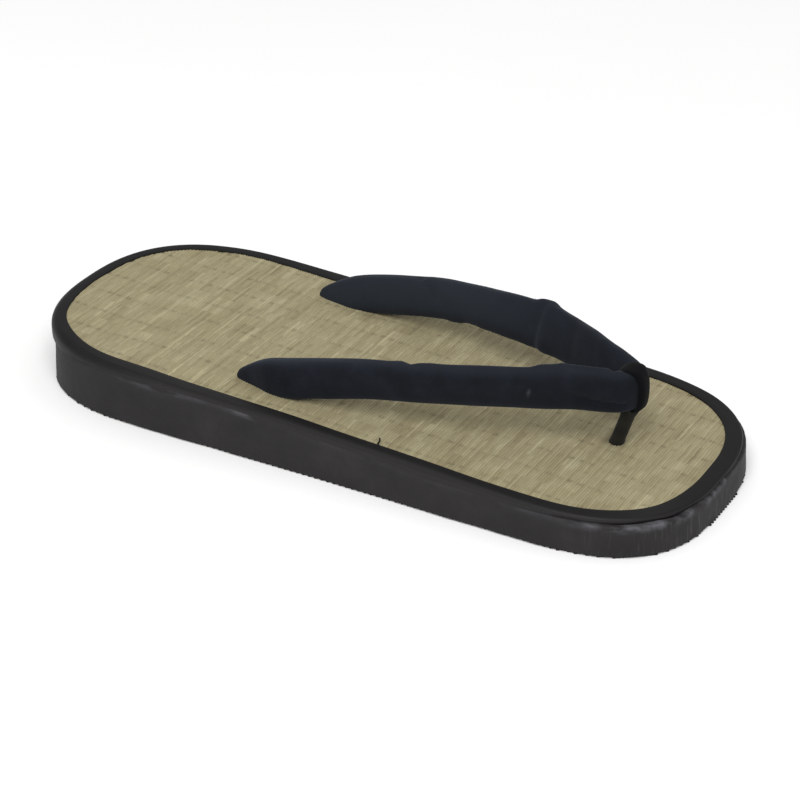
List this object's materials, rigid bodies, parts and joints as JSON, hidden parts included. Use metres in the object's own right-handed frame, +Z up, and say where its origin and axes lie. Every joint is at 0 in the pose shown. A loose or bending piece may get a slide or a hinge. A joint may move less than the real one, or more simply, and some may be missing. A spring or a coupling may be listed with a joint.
{
  "type": "zori sandal",
  "caption": "Flat sandal with a wedge foam sole, a rush mat footbed bound in black, and a stuffed velvet V strap held by a post between the toes.",
  "frame": {"origin": "on the floor, midway between heel and toe and midway across", "axes": "+X from heel to toe, +Y to the wearer's left, +Z up"},
  "size_m": [0.2708, 0.1128, 0.047],
  "materials": {
    "foam": "matte closed-cell foam",
    "rush": "woven dry rush, satin",
    "vinyl": "soft black vinyl, semi-gloss",
    "velvet": "black-blue velvet",
    "loop_cloth": "black-blue velvet",
    "post_cord": "tight black cord"
  },
  "bodies": {
    "root": {"outsole": "foam", "insole": "rush", "edge_binding": "vinyl", "strap": "velvet", "toe_loop": "loop_cloth", "toe_post": "post_cord"}
  },
  "joints": []
}
